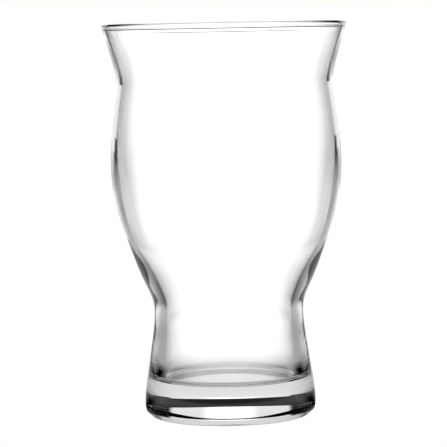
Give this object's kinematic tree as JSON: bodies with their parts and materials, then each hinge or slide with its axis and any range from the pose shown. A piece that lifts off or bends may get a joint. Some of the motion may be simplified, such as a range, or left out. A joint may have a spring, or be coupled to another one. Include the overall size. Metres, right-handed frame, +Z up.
{
  "type": "tumbler",
  "caption": "Clear glass beer tumbler with a heavy rounded foot, drawn-in waist, full belly and flared lip, open at the top for drinking.",
  "frame": {"origin": "centre of the foot, on the plane of the ring that rests on the table", "axes": "+Z up along the glass's axis of turning, from the foot to the rim; X and Y level"},
  "size_m": [0.0898, 0.0898, 0.145],
  "materials": {
    "clear_glass": "clear colourless soda-lime glass, fire-polished and smooth inside and out"
  },
  "bodies": {
    "root": {"glass_body": "clear_glass"}
  },
  "joints": []
}
